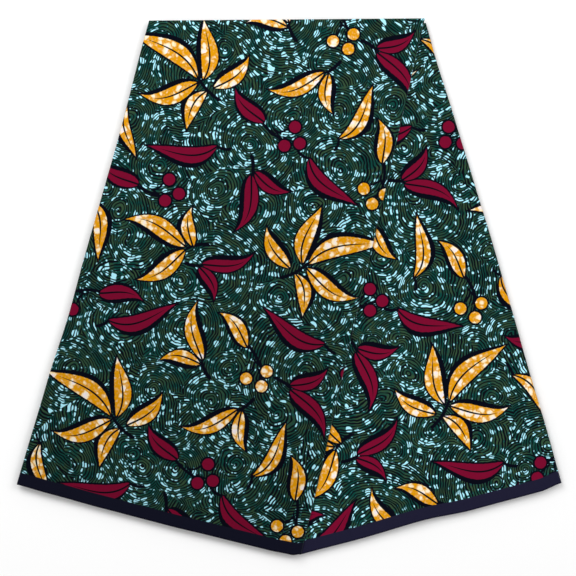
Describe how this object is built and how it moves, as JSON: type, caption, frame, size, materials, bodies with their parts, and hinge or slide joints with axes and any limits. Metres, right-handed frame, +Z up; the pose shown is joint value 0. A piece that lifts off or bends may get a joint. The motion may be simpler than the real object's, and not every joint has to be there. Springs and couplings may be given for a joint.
{
  "type": "african wax print fabric",
  "caption": "Length of african wax print cotton, folded flat, its front panel fanned out over the next one, with a dark selvedge along the lower edge.",
  "frame": {"origin": "centre of the cloth's box, on the surface that it lies on", "axes": "+X to the right of the front panel, +Y towards the folded top edge, +Z up off the surface"},
  "size_m": [0.5823, 0.5734, 0.0093],
  "materials": {
    "printed_cotton": "plain woven cotton, smooth, with a slight starch sheen, printed dark green with light blue, gold and maroon"
  },
  "bodies": {
    "root": {"left_panel": "printed_cotton", "right_panel": "printed_cotton", "hidden_layers": "printed_cotton"}
  },
  "joints": []
}
